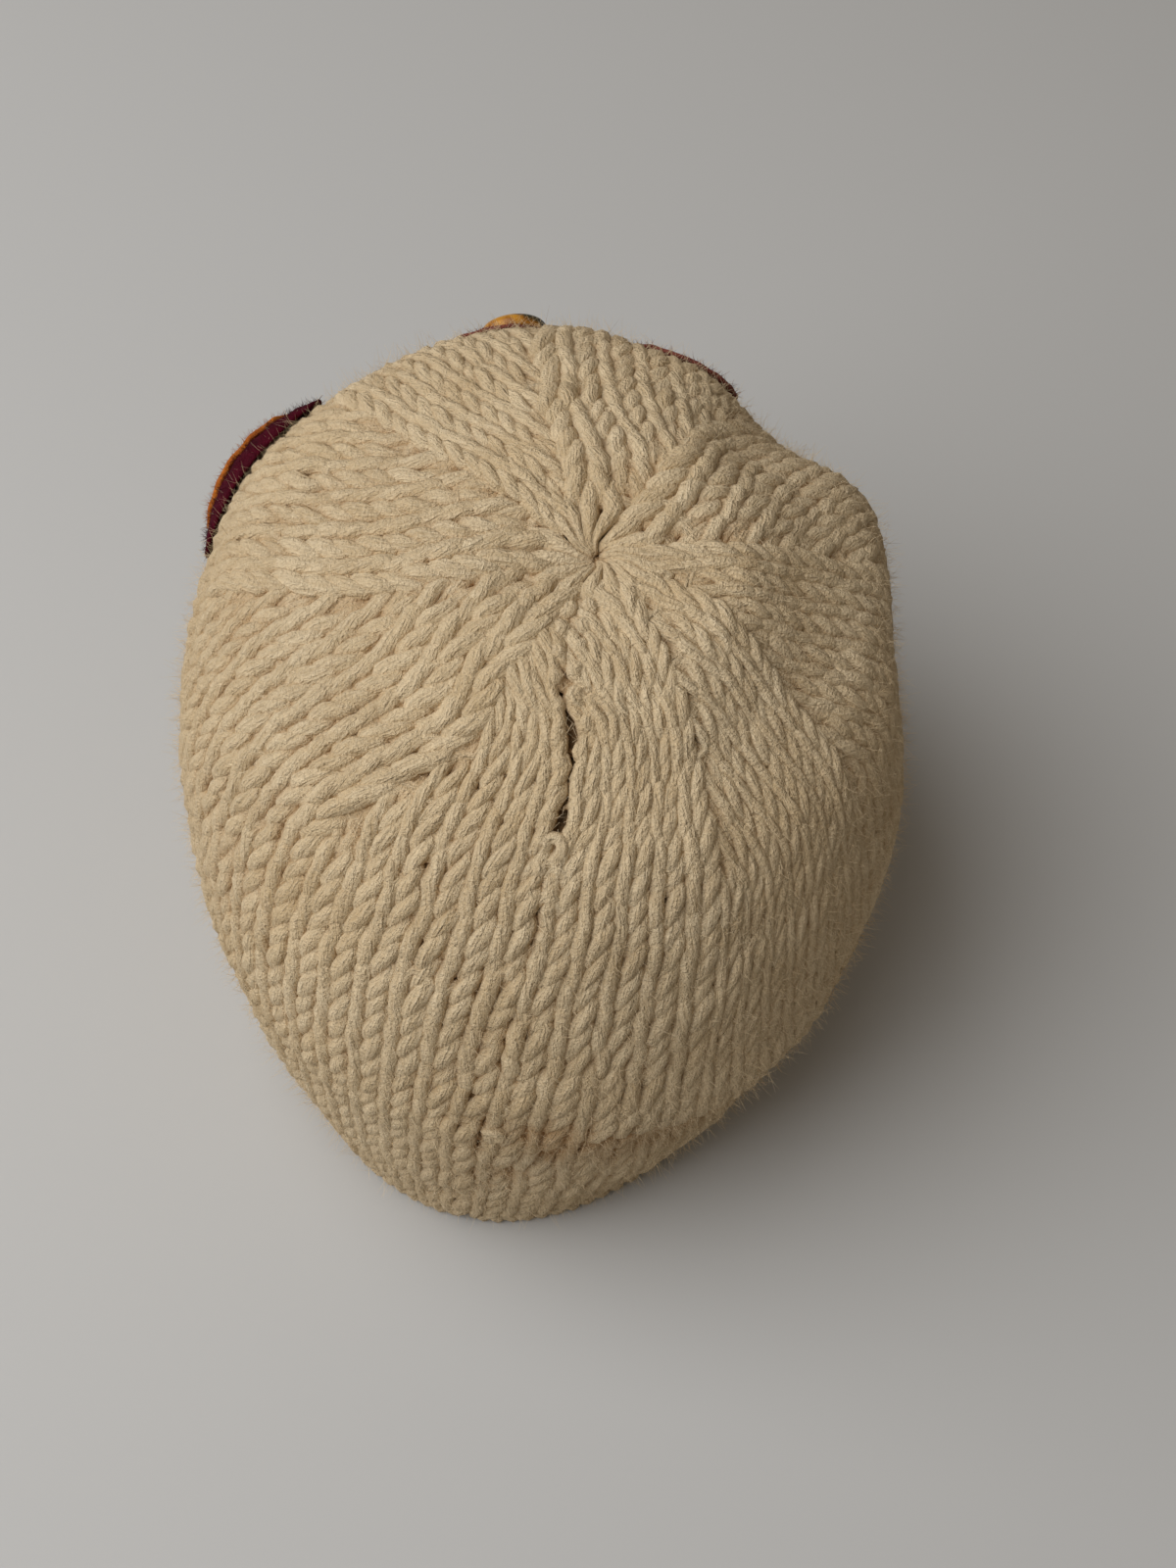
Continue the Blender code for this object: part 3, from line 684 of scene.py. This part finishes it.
def yarnRow(level, levelStep, random, **changes):  # the path of one row's yarn, loop after loop
    how = {**stitch, **changes}
    row = np.array(stitchesOfRow(level))
    samples, count = how["samples"], len(row)
    steps = np.arange(count * samples + 1)
    index = np.minimum(steps // samples, count - 1)
    section, wale, width = row[index, 0].astype(int), row[index, 1], row[index, 2]
    t = (steps - index * samples) * 2 * math.pi / samples
    vary = {name: np.interp(steps / samples, np.arange(count) + 0.5, random.normal(0, 1, count))
            for name in ("radius", "tone", "across", "along", "depth", "opening")}
    y = -how["reach"] * np.cos(t) * (1 + uneven["reach"] * vary["opening"]) + uneven["along"] * vary["along"]
    pointLevel = np.clip(level + y * levelStep, how["lowest"], how["highest"])
    middleTurn = waleToTurn(section, wale + 0.5 * width, np.clip(level + 0 * y, 0.02, 0.985))
    start, end = sectionEdges(section, lineTurns(pointLevel))
    waleWidth = (end - start) / walesLeft(section, pointLevel) * degreeLength(middleTurn, pointLevel)
    waleWidth = np.maximum(waleWidth, 1e-4)
    swing = how["opening"] * (1 + uneven["opening"] * vary["opening"]) * np.sin(2 * t)
    place = 0.5 + (t - math.pi) / (2 * math.pi) + swing / (2 * math.pi)
    lean = np.clip(how["lean"] * y * how["rowHeight"] / waleWidth, -how["leanMost"], how["leanMost"])
    turn = waleToTurn(section, wale + place * width + lean + uneven["across"] * vary["across"], pointLevel)
    turn = openSeam(turn, pointLevel, np.where(steps < len(steps) / 2, 1.0, -1.0))
    felted = felting(turn, pointLevel)
    thick = np.maximum(np.minimum(how["radius"], how["fill"] * waleWidth), how["least"])
    thick = thick * (1 - how["waist"] + how["waist"] * np.abs(np.sin(t)))
    thick = thick * (1 + uneven["radius"] * vary["radius"])
    thick = thick * (1 - how["halfThin"] + how["halfThin"] * width)
    relief = how["relief"] * np.clip(waleWidth / how["fullWale"], how["reliefLeast"], 1)
    relief = relief * (1 - how["feltedFlat"] * felted)
    depth = thick + relief * (1 + np.cos(2 * t)) + uneven["depth"] * vary["depth"]
    depth = depth + how["feltedSink"] * felted + creased(turn, pointLevel)
    if level > hat["crownEdge"]:
        depth = depth + how["sinkClosing"] * (1 - width) - how["raiseChain"] * (wale == 0)
    depth = depth + dimpled(pointLevel, how["highest"])
    normal = outward(turn, pointLevel)
    point = hatPoint(turn, pointLevel) - normal * depth[:, None]
    point[:, 2] = np.maximum(point[:, 2], thick + how["floorGap"])
    ends = np.minimum(steps, steps[::-1]) / 3.0
    return dict(point=point, normal=normal, radius=thick * np.clip(0.25 + ends, 0, 1), depth=depth,
                felting=felted, tone=np.clip(0.5 + uneven["tone"] * vary["tone"], 0, 1))


def yarnPiece(name, paths, node=None, **changes):
    piece = grown(name, pathMesh(name + "Path", paths), woolYarnTree, **{**yarn, **changes})
    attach(piece, "root")
    if node:
        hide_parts(node)
    return piece


def stitchRows(low, high, count, step, random):
    return [yarnRow(level, step, random) for level in rowLevels(low, high, count)]


random = np.random.default_rng(stitch["seed"])
bandStep, sideStep = rows["bandTop"] / rows["band"], (hat["crownEdge"] - rows["bandTop"]) / rows["side"]
crownStep = (hat["gatherEdge"] - hat["crownEdge"]) / rows["crown"]
bandPaths = stitchRows(rows["bottom"], rows["bandTop"], rows["band"], bandStep, random)
sidePaths = stitchRows(rows["bandTop"], hat["crownEdge"], rows["side"], sideStep, random)
crownPaths = stitchRows(hat["crownEdge"], hat["gatherEdge"], rows["crown"], crownStep, random)
crownPaths.append(yarnRow(random=random, **gather))
bandStitches = yarnPiece("bandStitches", bandPaths, "rib_band")
sideStitches = yarnPiece("sideStitches", sidePaths, "knit_body")
crownStitches = yarnPiece("crownStitches", crownPaths, "knit_body")

print("core: the wool behind the stitches")
core = dict(crisp=0.0036, felted=0.0012, wall=0.0014, columns=260, rows=88, bottom=0.006, top=0.985,
            rib=0.0014, slitDepth=0.0028, slitWidth=0.0022, slitShut=0.45, slitOpen=0.0012, uneven=0.0006,
            darkest=0.55, tone=0.45, grain=0.4, lowest=0.0004, weld=0.00004)


def coreDepth(turn, level, felted):  # how far the core lies below the crests of the knit
    gap, near, far = seamShape(level)
    aside = wrapped(turn - seamTurn(level)) * degreeLength(turn, level) - near - far
    slit = np.exp(-(aside / (core["slitWidth"] + 0.5 * gap)) ** 2)
    slit = slit * np.clip(core["slitShut"] + gap / core["slitOpen"], 0, 1)
    wale = turnToWale(openSeam(turn, level, 0.0), level)
    rib = core["rib"] * felted * (0.5 + 0.5 * np.cos(2 * math.pi * wale)) ** 1.5
    wave = np.sin(turn * 0.31 + 9 * level) * np.sin(level * 61 + turn * 0.11)
    depth = core["crisp"] + (core["felted"] - core["crisp"]) * felted ** 0.8 + rib
    depth = depth + core["uneven"] * wave * felted + core["slitDepth"] * slit
    return depth + np.maximum(creased(turn, level), 0) + dimpled(level, core["top"])


def makeCore():
    rows, columns = core["rows"], core["columns"]
    share, level = np.meshgrid(np.linspace(0, 1, columns), np.linspace(core["bottom"], core["top"], rows))
    turn = openSeam(seamTurn(level) + share * 360, level, 0.0)
    felted = felting(turn, level)
    depth = coreDepth(turn, level, felted)
    points = hatPoint(turn, level) - outward(turn, level) * depth[..., None]
    points[..., 2] = np.maximum(points[..., 2], core["lowest"])
    tip = hatPoint(0.0, 1.0) - outward(0.0, 1.0) * (core["felted"] + hat["dimple"])
    corners = [*points.reshape(-1, 3).tolist(), tip.tolist()]
    faces = [(r * columns + c + 1, r * columns + c, (r + 1) * columns + c, (r + 1) * columns + c + 1)
             for r in range(rows - 1) for c in range(columns - 1)]
    lastRow = (rows - 1) * columns
    faces += [(lastRow + c + 1, lastRow + c, rows * columns) for c in range(columns - 1)]
    mesh = bpy.data.meshes.new("knitCore")
    mesh.from_pydata(corners, [], faces)

    def withTip(values):
        return np.append(values.ravel(), values.ravel()[-1])

    keep(mesh, "felting", withTip(felted))
    keep(mesh, "tone", np.full(len(corners), core["tone"]))
    # painted shade: the core darkens with its depth, most in the seam's slit, up to darkest
    keep(mesh, "creviceShade", withTip(np.clip(depth / wool["creviceDepth"], 0, core["darkest"])))
    keep(mesh, "yarnPlace", np.asarray(corners) * core["grain"], "FLOAT_VECTOR")
    piece = added("knitCore", mesh)
    mesh.materials.append(woolCoreMaterial)
    mesh.shade_smooth()
    weld = piece.modifiers.new("weld", "WELD")
    weld.merge_threshold = core["weld"]
    wall = piece.modifiers.new("wall", "SOLIDIFY")
    wall.thickness, wall.offset = core["wall"], -1
    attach(piece, "root")
    return piece


knitCore = makeCore()

print("seam: selvedge loops, sewing yarn, curl, bulge and knots")
seam = dict(start=0.03, edgeRadius=0.0018, edgeAside=0.0021, edgeSwing=0.0010, edgeDepth=0.0024,
            edgeRise=0.0006, edgeSink=0.0008, beatSwell=0.12, calm=0.35, calmBelow=0.5, calmOver=0.15,
            perRow=8, barRadius=0.0009, barDepth=0.0046, barEvery=0.052, barHalf=0.0034, barSlope=0.006,
            barRise=0.0006, curlRise=0.0064)
# Loops and lumps: level, aside to the wearer's left, depth of the middle, ring's radius, yarn's radius,
# turns of the curl, and how far it is drawn out along the seam
curls = (
    (0.648, 0.0006, 0.0004, 0.0026, 0.0016, 0.86, 1.1),
    (0.612, -0.0024, 0.0013, 0.0022, 0.0021, 0.62, 1.5),
    (0.583, -0.0022, 0.0014, 0.0024, 0.0020, 0.70, 1.2),
    (0.872, 0.0030, 0.0014, 0.0019, 0.0018, 0.60, 1.3),
    (0.825, 0.0028, 0.0016, 0.0018, 0.0017, 0.55, 1.4),
    (0.335, -0.0024, 0.0009, 0.0018, 0.0015, 0.90, 1.0),
    (0.285, -0.0028, 0.0008, 0.0019, 0.0016, 0.85, 1.0),
)


def yarnAlong(place, radius, depth, tone=0.55):  # a path's record from its points and their normals
    point, normal = place
    steps = np.arange(len(point))
    ends = np.minimum(steps, steps[::-1]) / 2.0
    flat = np.ones(len(point))
    return dict(point=point, normal=normal, radius=radius * np.clip(0.35 + ends, 0, 1) * flat,
                depth=depth * flat, tone=tone * flat, felting=0.25 * flat)


def seamPaths():
    paths = []
    for side, phase in ((1, 0.5), (-1, 0.1)):
        level = np.arange(seam["start"], hat["gatherEdge"], sideStep / seam["perRow"])
        beat = np.cos(2 * math.pi * (level / sideStep + phase))
        strength = seam["calm"] + (1 - seam["calm"]) * (level - seam["calmBelow"]) / seam["calmOver"]
        strength = np.clip(strength, seam["calm"], 1)
        aside = side * (0.5 * seamShape(level)[0] + seam["edgeAside"] - seam["edgeSwing"] * beat * strength)
        depth = seam["edgeDepth"] - seam["edgeRise"] * beat * strength + seam["edgeSink"] * (1 - strength)
        radius = seam["edgeRadius"] * (1 + seam["beatSwell"] * beat)
        paths.append(yarnAlong(besideSeam(level, aside, depth), radius, depth))
    for level in np.arange(0.08, 0.93, seam["barEvery"]):
        across = np.linspace(-1, 1, 9)
        depth = seam["barDepth"] - seam["barRise"] * np.cos(across * math.pi / 2)
        place = besideSeam(level + seam["barSlope"] * across, seam["barHalf"] * across, depth)
        paths.append(yarnAlong(place, seam["barRadius"], depth, 0.3))
    for level, aside, depth, ring, radius, turns, drawn in curls:
        angle = np.linspace(0, 2 * math.pi * turns, 20)
        up = ring * drawn * np.sin(angle) / (stitch["rowHeight"] / sideStep)
        depths = depth + seam["curlRise"] * (angle / angle[-1] - 0.45) ** 2 + 0.5 * radius
        place = besideSeam(level + up, aside + ring * np.cos(angle), depths)
        paths.append(yarnAlong(place, radius, depths, 0.75))
    return paths


seamYarn = yarnPiece("seamYarn", seamPaths())

print("rim: the cast-on edge")
rim = dict(radius=0.00135, offset=0.0011, level=0.010, depth=0.0024, fromSeam=2, twists=60, perTwist=8,
           sides=7, floorGap=0.0001)


def rimPaths():  # two strands twisted round each other
    paths = []
    turn = np.linspace(rim["fromSeam"], 360 - rim["fromSeam"], rim["twists"] * rim["perTwist"] + 1)
    level = np.full(len(turn), rim["level"])
    normal = outward(turn, level)
    for start in (0, math.pi):
        angle = np.radians(turn) * rim["twists"] + start
        depth = rim["depth"] - rim["offset"] * np.cos(angle)
        point = hatPoint(turn, level) - normal * depth[:, None]
        point[:, 2] = np.maximum(point[:, 2] + rim["offset"] * np.sin(angle), rim["radius"] + rim["floorGap"])
        paths.append(yarnAlong((point, normal), rim["radius"], depth, 0.4))
    return paths


rimEdge = yarnPiece("rimEdge", rimPaths(), sides=rim["sides"])

print("felt: the appliques and the button")
# Half width and half height are shares of the hat's width, the lean is in degrees, a padded felt keeps
# only a share of its thickness at its rim, and fluff is loose fibres to a square metre
feltColumns = ("turn", "level", "halfWidth", "halfHeight", "lean", "thickness", "rim", "seed", "fluff",
               "color", "below")
felts = {name: dict(zip(feltColumns, row)) for name, *row in (
    ("left_applique_base", 111.0, 0.485, 0.135, 0.092, 18.0, 0.0036, 0.25, 1, 900000.0, "burgundy", None),
    ("left_applique_top", 111.9, 0.466, 0.092, 0.055, 18.0, 0.0016, 1.0, 2, 900000.0, "orange",
     "left_applique_base"),
    ("front_applique_base", 157.6, 0.484, 0.076, 0.076, 0.0, 0.0011, 1.0, 3, 600000.0, "rust", None),
    ("right_applique_base", 191.0, 0.503, 0.088, 0.084, -10.0, 0.0011, 1.0, 4, 600000.0, "rust", None),
    ("right_applique_top", 194.5, 0.487, 0.050, 0.050, -10.0, 0.0011, 1.0, 5, 600000.0, "olive",
     "right_applique_base"),
)}
# Hand waves run round the cut edge, each with its size, and a lip has a height and an inset
feltCut = dict(gap=0.0003, laid=0.0001, padding=0.6, sides=72, rings=10, wobble=0.014, softRim=0.30,
               softness=0.00025, waves=(1.4, 140.0), spare=1.04, handWaves=((2, 1.0), (5, 0.6), (11, 0.35)),
               lips=((0.93, 0.7), (0.72, 0.12), (0.5, 0.0), (0.28, 0.12), (0.07, 0.7)))
fluffFibres = dict(length=0.0022, thickness=0.00006, lift=0.9, curl=0.0016, sink=-0.1, pieces=3)


def feltAxes(piece):  # metres a degree and a level at its middle, and its lean
    lean = math.radians(piece["lean"])
    across, up = (np.linalg.norm(way) for way in acrossAndUp(piece["turn"], piece["level"]))
    return across, up, math.cos(lean), math.sin(lean)


def feltHeight(piece, turns, levels):  # a padded felt thins towards its rim
    across, up, cos, sin = feltAxes(piece)
    aside, above = (turns - piece["turn"]) * across, (levels - piece["level"]) * up
    side = (aside * cos + above * sin) / (piece["halfWidth"] * hat["width"])
    rise = (above * cos - aside * sin) / (piece["halfHeight"] * hat["width"])
    padded = np.maximum(1 - side ** 2 - rise ** 2, 0) ** feltCut["padding"]
    return piece["thickness"] * np.maximum(piece["rim"], padded)


def feltLoop(piece, angle, hand, out, share, inset=0.0):  # its corners: share 0 is underneath, 1 on top
    if out == 0:
        angle, hand = angle[:1], 1
    across, up, cos, sin = feltAxes(piece)
    reach = hat["width"] * out * hand
    side = (piece["halfWidth"] * reach - inset) * np.cos(angle)
    rise = (piece["halfHeight"] * reach - inset) * np.sin(angle)
    turns = piece["turn"] + (side * cos - rise * sin) / across
    levels = piece["level"] + (side * sin + rise * cos) / up
    lift = feltCut["gap"] + share * feltHeight(piece, turns, levels)
    soft = feltCut["softness"] * np.sin(feltCut["waves"][0] * turns) * np.sin(feltCut["waves"][1] * levels)
    if piece["below"]:
        lift = lift + feltHeight(felts[piece["below"]], turns, levels) + feltCut["laid"] + soft
    else:
        lift = lift + share * soft
    return hatPoint(turns, levels) + outward(turns, levels) * lift[:, None]


def feltMesh(name):  # its mesh, and where each loop of corners starts
    piece, sides, rings = felts[name], feltCut["sides"], feltCut["rings"]
    angle = np.arange(sides) * 2 * math.pi / sides
    phases = np.random.default_rng(piece["seed"]).uniform(0, 2 * math.pi, len(feltCut["handWaves"]))
    waves = zip(feltCut["handWaves"], phases)
    hand = 1 + feltCut["wobble"] * sum(size * np.sin(count * angle + phase) for (count, size), phase in waves)
    soft = feltCut["softRim"] * piece["thickness"] * piece["rim"]
    over, under = [[feltLoop(piece, angle, hand, k / rings, share) for k in range(rings)]
                   for share in (1.0, 0.0)]
    lips = [feltLoop(piece, angle, hand, 1.0, share, inset * soft) for share, inset in feltCut["lips"]]
    corners, starts, faces = [], [], []
    for loop in over + lips + under[::-1]:
        starts.append(len(corners))
        corners += loop.tolist()
    for i in range(sides):
        j = (i + 1) % sides
        faces.append((0, starts[1] + j, starts[1] + i))
        faces.append((starts[-1], starts[-2] + i, starts[-2] + j))
        for inner, outer in zip(starts[1:-2], starts[2:-1]):
            faces.append((inner + i, inner + j, outer + j, outer + i))
    mesh = bpy.data.meshes.new(name)
    mesh.from_pydata(corners, [], faces)
    mesh.materials.append(feltMaterials[piece["color"]])
    mesh.shade_smooth()
    return mesh, starts


def fluffSource(mesh, count):  # the outer face of a felt, for its loose fibres
    source = bpy.data.meshes.new("fluffSource")
    faces = [list(face.vertices) for face in mesh.polygons if max(face.vertices) < count]
    source.from_pydata([list(vertex.co) for vertex in mesh.vertices[:count]], [], faces)
    keep(source, "fuzz", np.ones(count))
    return source


def feltPiece(name):
    piece, lips = felts[name], len(feltCut["lips"])
    mesh, starts = feltMesh(name)
    cut = added(name.title().replace("_", ""), mesh)
    fluff = grown(cut.name + "Fluff", fluffSource(mesh, starts[feltCut["rings"] + lips]), fuzzTree,
                  density=piece["fluff"], seed=piece["seed"], wool=mesh.materials[0], **fluffFibres)
    for part in (cut, fluff):
        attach(part, "root")
    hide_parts(name)
    return cut


button = dict(turn=161.3, level=0.485, width=0.0165, height=0.0048, rim=0.0016, chamfer=0.0006, dome=0.9,
              steps=64, domeSteps=14, chamferSteps=4, weld=0.00001)


def buttonPiece(lift):  # a domed disc, turned from its profile
    radius, chamfer = 0.5 * button["width"], button["chamfer"]
    dome = button["height"] - button["rim"]
    quarter = np.linspace(0, 0.5 * math.pi, button["domeSteps"] + 1)
    corner = np.linspace(0, 0.5 * math.pi, button["chamferSteps"] + 1)[1:]
    profile = [(radius * math.sin(a) ** button["dome"], button["rim"] + dome * math.cos(a)) for a in quarter]
    profile += [(radius, chamfer)]
    profile += [(radius - chamfer * (1 - math.cos(a)), chamfer * (1 - math.sin(a))) for a in corner]
    profile += [(0.0, 0.0)]
    mesh = bpy.data.meshes.new("front_button")
    mesh.from_pydata([(r, 0, z) for r, z in profile], [(i, i + 1) for i in range(len(profile) - 1)], [])
    piece = added("front_button_profile", mesh)
    turned = piece.modifiers.new("turned", "SCREW")
    turned.steps = turned.render_steps = button["steps"]
    turned.use_merge_vertices, turned.merge_threshold = True, button["weld"]
    graph = bpy.context.evaluated_depsgraph_get()
    whole = bpy.data.meshes.new_from_object(piece.evaluated_get(graph), depsgraph=graph)
    bpy.data.objects.remove(piece)
    normal = Vector(outward(button["turn"], button["level"]))
    seat = Vector(hatPoint(button["turn"], button["level"])) + normal * lift
    whole.transform(Matrix.Translation(seat) @ normal.to_track_quat("Z", "Y").to_matrix().to_4x4())
    whole.materials.append(amberMaterial)
    whole.shade_smooth()
    piece = added("domedButton", whole)
    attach(piece, "root")
    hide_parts("front_button")
    return piece


feltPieces = [feltPiece(name) for name in felts]
domedButton = buttonPiece(2 * feltCut["gap"] + felts["front_applique_base"]["thickness"])

print("fuzz: loose fibres on the wool")
fuzz = dict(depth=0.0009, least=0.7, columns=240, lowest=0.004)
fuzzFibres = dict(density=330000.0, length=0.0058, thickness=0.00005, lift=0.38, curl=0.005, sink=-0.06,
                  pieces=3)


def fuzzPiece(name, low, high, rows, seed):  # grown on a skin just below the crests
    columns = fuzz["columns"]
    turn, level = np.meshgrid(np.arange(columns) * 360 / columns, np.linspace(low, high, rows))
    points = hatPoint(turn, level) - outward(turn, level) * (fuzz["depth"] + creased(turn, level))[..., None]
    points[..., 2] = np.maximum(points[..., 2], fuzz["lowest"])
    here = np.arange(rows * columns).reshape(rows, columns)
    after = np.roll(here, -1, axis=1)
    faces = np.stack([after[:-1], here[:-1], here[1:], after[1:]], axis=-1).reshape(-1, 4)
    skin = bpy.data.meshes.new(name + "Skin")
    skin.from_pydata(points.reshape(-1, 3).tolist(), [], faces.tolist())
    keep(skin, "fuzz", fuzz["least"] + felting(turn, level).ravel())
    piece = grown(name, skin, fuzzTree, seed=seed, wool=woolFuzzMaterial, **fuzzFibres)
    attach(piece, "root")
    return piece


crownFuzz = fuzzPiece("crownFuzz", 0.52, 0.985, 40, 11)
sideFuzz = fuzzPiece("sideFuzz", 0.27, 0.52, 30, 12)
bandFuzz = fuzzPiece("bandFuzz", 0.02, 0.27, 30, 13)

print("stage: floor, light and camera")
shot = dict(elevation=55.11, azimuth=9.105, roll=2.247, distance=0.59092, aside=0.00811, above=-0.02281,
            aim=0.08, focalPixels=2488.0, imageLong=1600, sensor=36.0)
el, az, roll = (math.radians(shot[name]) for name in ("elevation", "azimuth", "roll"))
away = np.array((-math.sin(az) * math.cos(el), math.cos(az) * math.cos(el), math.sin(el)))
sideways = np.cross(-away, (0, 0, 1))
sideways = sideways / np.linalg.norm(sideways)
upright = np.cross(sideways, -away)
right = sideways * math.cos(roll) + upright * math.sin(roll)
top = upright * math.cos(roll) - sideways * math.sin(roll)
target = np.array((shift[0], shift[1], shot["aim"])) + right * shot["aside"] + top * shot["above"]
camera = linked("camera", bpy.data.cameras.new("camera"))
camera.matrix_world = Matrix.LocRotScale(Vector(target + away * shot["distance"]),
                                         Matrix((right, top, away)).transposed(), None)
camera.data.sensor_width = shot["sensor"]
camera.data.lens = shot["focalPixels"] / shot["imageLong"] * shot["sensor"]
bpy.context.scene.camera = camera

room = dict(floorHalf=3, floorColor=(0.52, 0.52, 0.51, 1), floorRoughness=0.7, air=(0.93, 0.80, 0.65, 1),
            glow=0.18, lampAim=(0, 0, 0.07))
lamps = dict(key=((0.71, 0.26, 0.96), 1.5, 18.2, (0.98, 0.985, 1.0)),  # place, size, watts and colour
             fill=((-0.5, 0.8, 1.1), 1.4, 0.3, (1.0, 0.95, 0.88)))
floorMesh = bpy.data.meshes.new("floor")
floorMesh.from_pydata([(room["floorHalf"] * x, room["floorHalf"] * y, 0)
                       for x, y in ((-1, -1), (1, -1), (1, 1), (-1, 1))], [], [(0, 1, 2, 3)])
floor = linked("floor", floorMesh)
floorMaterial, _, floorShader, _ = surface("paleFloor", room["floorRoughness"])
floorShader.inputs["Base Color"].default_value = room["floorColor"]
floorMesh.materials.append(floorMaterial)

for name, (place, size, watts, tint) in lamps.items():
    lamp = bpy.data.lights.new(name, "AREA")
    lamp.size, lamp.energy, lamp.color = size, watts, tint
    light = linked(name, lamp)
    towards = Vector(room["lampAim"]) - Vector(place)
    light.matrix_world = Matrix.Translation(place) @ towards.to_track_quat("-Z", "Y").to_matrix().to_4x4()
world = bpy.data.worlds.new("softRoom")
world.use_nodes = True
world.node_tree.nodes["Background"].inputs[0].default_value = room["air"]
world.node_tree.nodes["Background"].inputs[1].default_value = room["glow"]
bpy.context.scene.world = world
bpy.context.scene.view_settings.view_transform = "Standard"
